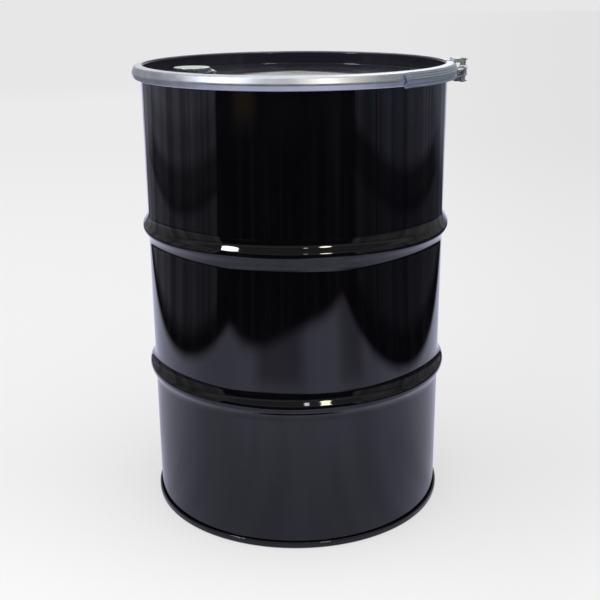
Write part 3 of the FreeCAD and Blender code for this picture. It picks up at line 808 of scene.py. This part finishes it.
class DRUM_OT_bung(bpy.types.Operator):
    """Builds the bung's cap seal and finishes its flange, plug and gaskets"""

    bl_idname = "drum.bung"
    bl_label = "Bung"

    def execute(self, context):
        sheet = context.scene.drum_cover.seal_sheet
        bung = (FLANGE_LOW + FLANGE_HIGH) / 2
        centre = (bung.x, bung.y)
        skirt = bung.x - SEAL_LOW.x - sheet / 2
        top = SEAL_HIGH.z - sheet / 2
        corners = [
            (0, top - 0.5 * MM),
            (12 * MM, top - 0.5 * MM, 0.8 * MM),
            (13 * MM, top - 0.15 * MM, 0.8 * MM),
            (17 * MM, top - 0.15 * MM, 0.8 * MM),
            (18 * MM, top - 0.5 * MM, 0.8 * MM),
            (25 * MM, top - 0.5 * MM, 1.0 * MM),
            (26.5 * MM, top, 1.0 * MM),
            (skirt, top, 1.0 * MM),
            (skirt, top - 3.3 * MM),
        ]
        maker = bmesh.new()
        turned(maker, sheet_outline(corners, sheet), full_turn(128), centre=centre)
        cap = new_piece("bung_cap_seal", maker)
        give(cap, "seal", finish("tinplate"), "tinplate", "cap_seal")
        tab = self.make_tab(sheet, centre, skirt)
        give(tab, "seal", finish("tinplate"), "tinplate")
        for node, body, slot, width in (
            ("bung_flange", "cover", "plated_fitting", 0.4 * MM),
            ("bung_plug", "plug", "plated_fitting", 0.3 * MM),
        ):
            softened(node, node + "_rounded", width, finish(slot), body, slot)
        repaint("bung_flange_gasket", finish("rubber_black"))
        repaint("bung_plug_gasket", finish("rubber_white"))
        return {"FINISHED"}

    def make_tab(self, sheet, centre, skirt):
        """A bent pull ring at the seal's edge."""
        reach, outer, inner = 7.5 * MM, 6.5 * MM, 3.8 * MM
        maker = bmesh.new()
        wire = (outer - inner) / 2
        profile = []
        for step in range(16):
            turn = math.tau * step / 16
            profile.append((inner + wire + wire * math.cos(turn), sheet * 0.8 * math.sin(turn)))
        turned(maker, profile, full_turn(48), centre=(reach, 0.0))
        tilt = Matrix.Rotation(math.radians(25), 4, "Y")
        start = Vector((centre[0] + skirt, centre[1], SEAL_HIGH.z - 3.2 * MM))
        maker.transform(Matrix.Translation(start) @ tilt)
        return new_piece("bung_seal_tab", maker)


# ---- closing ring ----
def leaning(sizes, radius, height):
    """A radius at the ring's middle, carried to another height along the ring's sloping sides."""
    return radius - abs(height - sizes.middle) * math.tan(sizes.lean)


def ring_nose(sizes):
    """Where the ring's two sloping sides would meet if the bend between them were sharp."""
    return sizes.radius - sizes.sheet / 2 + sizes.nose_bend * (1 / math.cos(sizes.lean) - 1)


def ring_corners(sizes):
    shoulder = RING_HIGH.z - sizes.sheet
    nose = ring_nose(sizes)
    return [
        (sizes.lip_radius, RING_HIGH.z - sizes.sheet / 2),
        (leaning(sizes, nose, shoulder), shoulder, 4.5 * MM),
        (nose, sizes.middle, sizes.nose_bend),
        (leaning(sizes, nose, sizes.foot), sizes.foot, 2.5 * MM),
        (sizes.hook_radius, sizes.foot + 2.2 * MM),
    ]


class DRUM_OT_ring(bpy.types.Operator):
    """Builds the closing ring as two halves, one each side of the gap at the lock"""

    bl_idname = "drum.ring"
    bl_label = "Closing ring"

    def execute(self, context):
        sizes = context.scene.drum_ring
        outline = sheet_outline(ring_corners(sizes), sizes.sheet)
        count = context.scene.drum_body.segments // 2
        for name, body, end in (
            ("closing_ring_front_half", "front_ring_end", -sizes.gap),
            ("closing_ring_back_half", "back_ring_end", sizes.gap),
        ):
            maker = bmesh.new()
            turned(maker, outline, turn_angles(math.copysign(math.pi, end), end, count))
            piece = new_piece(name, maker)
            piece.data.materials.append(finish("galvanised_ring"))
            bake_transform(piece)
            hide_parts("closing_ring")
        return {"FINISHED"}


# ---- lever lock ----
LEVER_START = math.radians(-9.2)
FLARE_START = math.radians(-49.0)
FLARE_TURN = math.radians(30.0)
FLARE_AXIS = 348.5 * MM
LEVER_PIVOT = (318.0 * MM, -12.0 * MM)
LINK_PIN = (310.0 * MM, -36.0 * MM)
EYE_RADIUS = 7.0 * MM
ARM_RADIUS = 6.0 * MM
ARM_INSET = 0.03 * MM
LEVER_BEND = 1.6 * MM


def lever_corners(sizes, ring):
    """The ribbed strip's corners, bent to the ring's side, with its lower edge turned outwards."""
    nose = ring_nose(ring) + sizes.clear
    bottom = ring.middle - sizes.half_height + sizes.sheet / 2
    top = ring.middle + sizes.half_height
    foot = leaning(ring, nose, bottom)
    corners = [(foot + sizes.turned_edge, bottom), (foot, bottom, LEVER_BEND)]
    first = bottom + 3.4 * MM
    step = (top - 1.2 * MM - first) / (2 * sizes.ribs)
    for index in range(2 * sizes.ribs + 1):
        height = first + index * step
        reach = sizes.rib_depth if index % 2 else 0.0
        corners.append((leaning(ring, nose, height) + reach, height, LEVER_BEND))
    corners.append((leaning(ring, nose, top), top))
    return corners


def lever_strip(maker, outline):
    """Sweeps the strip's outline along the ring and then outwards for the finger grip."""
    axis = (0.0, 0.0)
    grip = on_circle(axis, FLARE_AXIS, FLARE_START)
    flare = turn_angles(FLARE_START, FLARE_START + FLARE_TURN, 24)[1:]
    stations = [(axis, angle, 0.0) for angle in turn_angles(LEVER_START, FLARE_START, 120)]
    stations += [(grip, angle, FLARE_AXIS) for angle in flare]
    rings = []
    for centre, angle, shift in stations:
        rings.append([
            maker.verts.new((*on_circle(centre, radius - shift, angle), height))
            for radius, height in outline
        ])
    for near, far in zip(rings, rings[1:]):
        for index in range(len(outline)):
            after = (index + 1) % len(outline)
            maker.faces.new([near[index], far[index], far[after], near[after]])
    maker.faces.new(rings[0])
    maker.faces.new(rings[-1][::-1])


def slot_shape(start, end, radius, inner):
    """Corners of a rounded bar between two points, kept outside a circle about the drum's axis."""
    along = math.atan2(end[1] - start[1], end[0] - start[0])
    corners = []
    for centre, first in ((end, along - math.pi / 2), (start, along + math.pi / 2)):
        for angle in turn_angles(first, first + math.pi, 20):
            place = on_circle(centre, radius, angle)
            grown = max(1.0, inner / math.hypot(*place))
            corners.append((place[0] * grown, place[1] * grown))
    return corners


def slab(maker, corners, bottom, top):
    low = [maker.verts.new((x, y, bottom)) for x, y in corners]
    high = [maker.verts.new((x, y, top)) for x, y in corners]
    maker.faces.new(low[::-1])
    maker.faces.new(high)
    for index in range(len(corners)):
        after = (index + 1) % len(corners)
        maker.faces.new([low[index], low[after], high[after], high[index]])


def rounded(piece, width):
    bevel = piece.modifiers.new("rounded_edges", "BEVEL")
    bevel.width = width
    bevel.segments = 2
    bevel.limit_method = "ANGLE"
    bevel.angle_limit = math.radians(35)
    bevel.harden_normals = True


class DRUM_OT_lock(bpy.types.Operator):
    """Finishes the lever, its lugs, link and pins"""

    bl_idname = "drum.lock"
    bl_label = "Lever lock"

    def execute(self, context):
        sizes = context.scene.drum_lock
        ring = context.scene.drum_ring
        maker = bmesh.new()
        lever_strip(maker, sheet_outline(lever_corners(sizes, ring), sizes.sheet))
        strip = new_piece("lever_strip", maker)
        give(strip, "lever", finish("zinc_lever"), "zinc_lock", "lever")
        maker = bmesh.new()
        for side in (-1, 1):
            middle = sizes.level + side * (sizes.ear_level + sizes.ear_sheet / 2)
            inner = leaning(ring, ring.radius + sizes.clear, middle) + max(0, side) * sizes.rib_depth / 2
            root = on_circle((0.0, 0.0), inner + 2 * MM, LEVER_START - math.radians(2.5))
            half = sizes.ear_sheet / 2
            eye = slot_shape(LEVER_PIVOT, LINK_PIN, EYE_RADIUS, inner)
            slab(maker, eye, middle - half, middle + half)
            half -= ARM_INSET
            arm = slot_shape(LINK_PIN, root, ARM_RADIUS, inner)
            slab(maker, arm, middle - half, middle + half)
        ears = new_piece("lever_ears", maker)
        rounded(ears, 0.4 * MM)
        give(ears, "lever", finish("zinc_lock"), "zinc_lock")
        for node, body, slot, width in (
            ("lever_link_pins", "lever", "bright_pin", 0.3 * MM),
            ("front_lug", "front_ring_end", "zinc_lock", 0.5 * MM),
            ("front_lug_rivets", "front_ring_end", "bright_pin", 0.2 * MM),
            ("lever_pivot_pin", "front_ring_end", "bright_pin", 0.4 * MM),
            ("back_lug", "back_ring_end", "zinc_lock", 0.6 * MM),
            ("back_lug_rivets", "back_ring_end", "bright_pin", 0.2 * MM),
            ("link_pivot_pin", "back_ring_end", "bright_pin", 0.4 * MM),
            ("link_spacers", "back_ring_end", "bright_pin", 0.3 * MM),
            ("link_upper_plate", "link", "zinc_lock", 0.5 * MM),
            ("link_lower_plate", "link", "zinc_lock", 0.5 * MM),
            ("link_pin_heads", "link", "bright_pin", 0.4 * MM),
        ):
            softened(node, node + "_rounded", width, finish(slot), body, slot)
        return {"FINISHED"}


# ---- stage ----
FLOOR_REACH = 30.0
PAPER_GLOW = 0.5


def square(name, reach, height):
    maker = bmesh.new()
    bmesh.ops.create_grid(maker, x_segments=8, y_segments=8, size=reach)
    bmesh.ops.translate(maker, verts=maker.verts, vec=(0, 0, height))
    piece = new_piece(name, maker)
    return piece


def floor_material(stage):
    """Pale paper, partly self-lit so that shadows stay faint, with painted shade that makes it a little
    darker far away and towards the right, and a painted pool of light in front of the drum.
    """
    material, tree, shader = new_material("paper_floor")
    place = object_place(tree)
    x, y, _ = coordinates(tree, place)
    # Painted shade: far from the drum and towards the right the floor is blended to the darker backdrop
    # tone.
    away = ramp(tree, y, -1.4, 5.0)
    sideways = ramp(tree, x, -1.5, 2.5, 0.0, 0.22)
    radius = round_place(tree, place)[1]
    share = sums(tree, "MULTIPLY_ADD", away, 0.78, sideways, clamp=True)
    share = greatest(tree, share, ramp(tree, radius, 3.0, 9.0))
    tone = blend(tree, share, solid(stage.floor), solid(stage.backdrop))
    # Painted light: the floor is painted lighter in front of the drum, more so on its left.
    left = ramp(tree, x, -1.2, 1.2, 1.0, 0.85)
    painted_light_near = product(tree, ramp(tree, y, 0.1, -0.7), left, ramp(tree, radius, 1.4, 3.5, 1.0, 0.0))
    tone = blend(tree, painted_light_near, tone, (1.04, 1.04, 1.04, 1.0))
    # Painted shade: the floor is painted up to 5% darker towards the right.
    right_side_shade = sums(tree, "DIVIDE", x, greatest(tree, total(tree, y, 2.0), 1.5))
    tone = blend(tree, ramp(tree, right_side_shade, 0.05, 0.30, 0.0, 0.05), tone, (0.0, 0.0, 0.0, 1.0))
    painted = blend(tree, 1.0 - PAPER_GLOW, (0.0, 0.0, 0.0, 1.0), tone)
    feed(tree, shader.inputs["Base Color"], painted)
    feed(tree, shader.inputs["Emission Color"], tone)
    shader.inputs["Emission Strength"].default_value = PAPER_GLOW
    shader.inputs["Roughness"].default_value = 0.9
    shader.inputs["Specular IOR Level"].default_value = 0.0
    return material


def front_gap(tree, bearing):
    """The unlit part of the room, on the camera's side; bearings turn from -Y towards +X."""
    return sector(tree, bearing, -57, 43, 1.2)


def paper_mask(tree, x, y, wobble):
    """White paper round the drum that widens towards the backdrop."""
    half_width = greatest(tree, 1.05, product(tree, y, 0.5))
    aside = sums(tree, "ABSOLUTE", total(tree, x, 0.05))
    overhang = sums(tree, "SUBTRACT", aside, half_width)
    across = ramp(tree, overhang, -0.06, 0.08, 1.0, 0.0)
    front_edge = total(tree, ramp(tree, x, -1.2, 0.3, -1.05, -1.55), wobble)
    before = ramp(tree, sums(tree, "SUBTRACT", y, front_edge), -0.10, 0.10)
    return product(tree, across, before)


def painted_reflection_material():
    """A glowing sheet under the floor that only gloss sees: a painted reflection of white paper near the
    drum and a dim room beyond it, with painted shade on the paper close to the drum and in front of it.
    """
    material = bpy.data.materials.new("painted_reflection_room")
    material.use_nodes = True
    tree = material.node_tree
    tree.nodes.clear()
    place = object_place(tree)
    x, y, _ = coordinates(tree, place)
    bearing = sums(tree, "ARCTAN2", x, product(tree, y, -1.0))
    radius = round_place(tree, place)[1]
    wobble = sums(tree, "MULTIPLY_ADD", noise(tree, place, 0.9, 1.0), 0.16, -0.04)
    paper = paper_mask(tree, x, y, wobble)
    # Painted shadow: the reflected paper is darker close to the drum.
    near = ramp(tree, radius, 0.3, 1.0, 0.62, 0.88)
    spread = joined(tree, product(tree, bearing, 2.2), product(tree, radius, 0.6), 3.0)
    creases = noise(tree, spread, 1.0, 2.0)
    beyond = ramp(tree, radius, 0.95, 1.15)
    # Painted shade: beyond about a metre the reflected paper is darker in two sectors on the camera's side.
    middle_shade = product(tree, sector(tree, bearing, -27, 4, 6), beyond)
    edge_shade = product(tree, sector(tree, bearing, 30, 46, 4), beyond, 0.8)
    dimmer = sums(tree, "MULTIPLY_ADD", greatest(tree, middle_shade, edge_shade), -0.52, 1.0)
    paper_light = product(tree, paper, near, dimmer, ramp(tree, creases, 0.30, 0.60, 0.82, 1.0))

    streaks = fringe(tree, bearing, 7.0, 0.0, 4.0, 0.7)
    folds = ramp(tree, streaks, 0.35, 0.65, 0.45, 1.15)
    posts = ramp(tree, fringe(tree, bearing, 9.0, 5.0), 0.64, 0.68, 1.0, 0.35)
    aside = sums(tree, "ABSOLUTE", x)
    left = ramp(tree, x, -0.5, 0.5, 1.0, 0.45)
    gutter = within(tree, aside, 1.35, 2.9, 0.18)
    near_wall = product(tree, gutter, 0.20, left)
    middle_wall = product(tree, ramp(tree, aside, 2.6, 3.4), 0.10, left)
    far_wall = product(tree, ramp(tree, aside, 3.7, 4.5), 0.20)
    window = product(tree, ramp(tree, aside, 5.0, 7.0), 0.18, ramp(tree, x, -1.0, 1.0, 1.0, 0.3))
    walls = total(tree, near_wall, middle_wall, far_wall, window)
    lit = opposite(tree, front_gap(tree, bearing))
    walls = product(tree, walls, folds, posts, lit)
    behind = product(tree, ramp(tree, y, 1.6, 5.0), 0.35, folds)
    glimmer = product(tree, within(tree, streaks, 0.52, 0.60, 0.03), 0.035)
    # A faint painted glow far off in the unlit part of the room.
    painted_lightening = product(tree, opposite(tree, lit), ramp(tree, radius, 3.0, 7.0), 0.03)
    light = greatest(tree, paper_light, walls, behind, glimmer, painted_lightening, 0.006)

    hue = fringe(tree, bearing, 11.0, 9.0)
    blue = product(tree, ramp(tree, hue, 0.50, 0.62), ramp(tree, x, 0.0, 1.0))
    room_tint = blend(tree, blue, (0.95, 0.96, 1.16, 1.0), (0.55, 0.75, 1.20, 1.0))
    brown = sector(tree, bearing, 24, 33, 2.5)
    lamp_glow = product(tree, sector(tree, bearing, -43, -28, 4), ramp(tree, radius, 5.0, 7.2))
    room_tint = blend(tree, product(tree, brown, 0.8), room_tint, (1.5, 0.95, 0.75, 1.0))
    room_tint = blend(tree, lamp_glow, room_tint, (1.5, 1.1, 0.55, 1.0))
    brown_streak = product(tree, brown, ramp(tree, radius, 2.2, 5.0), 0.025)
    light = total(tree, light, product(tree, lamp_glow, 0.09), brown_streak)
    glow = add(tree, "ShaderNodeEmission")
    feed(tree, glow.inputs["Color"], blend(tree, paper, room_tint, (0.90, 0.91, 1.17, 1.0)))
    feed(tree, glow.inputs["Strength"], light)
    output = add(tree, "ShaderNodeOutputMaterial")
    tree.links.new(glow.outputs[0], output.inputs["Surface"])
    return material


def make_world():
    """Even pale light; what is mirrored from above the floor goes from a dim room to a bright ceiling."""
    world = bpy.data.worlds.new("studio_light")
    bpy.context.scene.world = world
    world.use_nodes = True
    tree = world.node_tree
    tree.nodes.clear()
    direction = add(tree, "ShaderNodeTexCoord").outputs["Generated"]
    x, y, height = coordinates(tree, direction)
    bearing = sums(tree, "ARCTAN2", x, product(tree, y, -1.0))
    edge = sums(tree, "SUBTRACT", product(tree, y, 0.5), sums(tree, "ABSOLUTE", x))
    backdrop = product(tree, ramp(tree, edge, -0.02, 0.02), 0.85)
    streaks = fringe(tree, bearing, 7.0, 0.0, 4.0, 0.7)
    folds = ramp(tree, streaks, 0.35, 0.65, 0.45, 1.15)
    side = product(tree, opposite(tree, front_gap(tree, bearing)), folds, 0.34)
    low = product(tree, side, ramp(tree, height, 0.25, 0.6, 1.0, 0.2))
    band = product(tree, within(tree, height, 0.44, 0.60, 0.08), 0.40)
    upper = product(tree, ramp(tree, height, 0.45, 0.60), 0.20)
    ceiling = product(tree, ramp(tree, height, 0.74, 0.92), 1.15)
    mirrored = greatest(tree, backdrop, low, band, upper, ceiling, 0.008)
    paths = add(tree, "ShaderNodeLightPath")
    camera_ray, glossy_ray = paths.outputs["Is Camera Ray"], paths.outputs["Is Glossy Ray"]
    seen = product(tree, camera_ray, 0.80)
    shiny = product(tree, glossy_ray, mirrored)
    strength = total(tree, seen, shiny, opposite(tree, greatest(tree, camera_ray, glossy_ray)))
    sky = add(tree, "ShaderNodeBackground")
    sky.inputs["Color"].default_value = (1.0, 1.0, 1.0, 1.0)
    feed(tree, sky.inputs["Strength"], strength)
    output = add(tree, "ShaderNodeOutputWorld")
    tree.links.new(sky.outputs[0], output.inputs["Surface"])


def make_lamp(name, azimuth, elevation, width, brightness, tint):
    """A round lamp that only gloss mirrors; azimuth 0 is the camera's side and width is in degrees."""
    distance = 4.0
    data = bpy.data.lights.new(name, "AREA")
    data.shape = "DISK"
    data.size = 2 * distance * math.tan(math.radians(width) / 2)
    data.energy = brightness * math.pi * math.pi * (data.size / 2) ** 2
    data.color = tint
    lamp = bpy.data.objects.new(name, data)
    bpy.context.scene.collection.objects.link(lamp)
    turn, lift = math.radians(azimuth), math.radians(elevation)
    middle = Vector((0.0, 0.0, 0.5))
    toward = Vector((math.sin(turn) * math.cos(lift), -math.cos(turn) * math.cos(lift), math.sin(lift)))
    lamp.location = middle + toward * distance
    lamp.rotation_mode = "QUATERNION"
    lamp.rotation_quaternion = toward.to_track_quat("Z", "Y")
    lamp.visible_diffuse = False


class DRUM_OT_stage(bpy.types.Operator):
    """Makes the floor, the light and the camera"""

    bl_idname = "drum.stage"
    bl_label = "Stage"

    def execute(self, context):
        stage = context.scene.drum_stage
        floor = square("paper_floor", FLOOR_REACH, 0.0)
        floor.data.materials.append(floor_material(stage))
        floor.visible_glossy = False
        # The painted reflection: a glowing sheet just under the floor, hidden from the camera, from diffuse
        # light and from shadows.
        mirrored = square("painted_reflection_room", FLOOR_REACH, -1 * MM)
        mirrored.data.materials.append(painted_reflection_material())
        mirrored.visible_camera = False
        mirrored.visible_diffuse = False
        mirrored.visible_shadow = False
        mirrored.visible_transmission = False
        make_world()
        for name, azimuth, elevation, width, brightness, tint in (
            ("lamp_left", -55, 41, 11, 1.0, (0.92, 0.94, 1.0)),
            ("lamp_middle", 8, 38, 3, 0.5, (0.90, 0.93, 1.0)),
            ("lamp_right", 23, 34, 8, 1.0, (1.0, 0.93, 0.72)),
            ("lamp_behind", 160, 45, 8, 0.6, (1.0, 1.0, 1.0)),
        ):
            make_lamp(name, azimuth, elevation, width, brightness * stage.lamp_brightness, tint)
        data = bpy.data.cameras.new("camera")
        data.lens = stage.lens
        camera = bpy.data.objects.new("camera", data)
        context.scene.collection.objects.link(camera)
        tilt = Euler((math.pi / 2 - stage.camera_tilt, 0.0, 0.0)).to_matrix().to_4x4()
        roll = Matrix.Rotation(stage.camera_roll, 4, "Z")
        camera.matrix_world = Matrix.Translation(stage.camera_place) @ tilt @ roll
        context.scene.camera = camera
        context.scene.view_settings.view_transform = "Standard"
        return {"FINISHED"}


OPERATORS = (DRUM_OT_stage, DRUM_OT_body, DRUM_OT_cover, DRUM_OT_bung, DRUM_OT_ring, DRUM_OT_lock)
GROUPS = (
    ("drum_body", DrumBodySizes),
    ("drum_cover", DrumCoverSizes),
    ("drum_ring", DrumRingSizes),
    ("drum_lock", DrumLockSizes),
    ("drum_finishes", DrumFinishes),
    ("drum_stage", DrumStageSettings),
)


class DRUM_PT_panel(bpy.types.Panel):
    """Lists the drum's pieces and settings"""

    bl_idname = "DRUM_PT_panel"
    bl_label = "Steel drum"
    bl_space_type = "VIEW_3D"
    bl_region_type = "UI"
    bl_category = "Drum"

    def draw(self, context):
        for operator in OPERATORS:
            self.layout.operator(operator.bl_idname)
        for name, group in GROUPS:
            box = self.layout.box()
            for setting in group.__annotations__:
                box.prop(getattr(context.scene, name), setting)


def register():
    for name, group in GROUPS:
        bpy.utils.register_class(group)
        setattr(bpy.types.Scene, name, PointerProperty(type=group))
    for item in OPERATORS + (DRUM_PT_panel,):
        bpy.utils.register_class(item)


def unregister():
    for item in (DRUM_PT_panel,) + OPERATORS[::-1]:
        bpy.utils.unregister_class(item)
    for name, group in GROUPS[::-1]:
        delattr(bpy.types.Scene, name)
        bpy.utils.unregister_class(group)


def main():
    register()
    for operator in OPERATORS:
        area, action = operator.bl_idname.split(".")
        getattr(getattr(bpy.ops, area), action)()


if __name__ == "__main__":
    main()
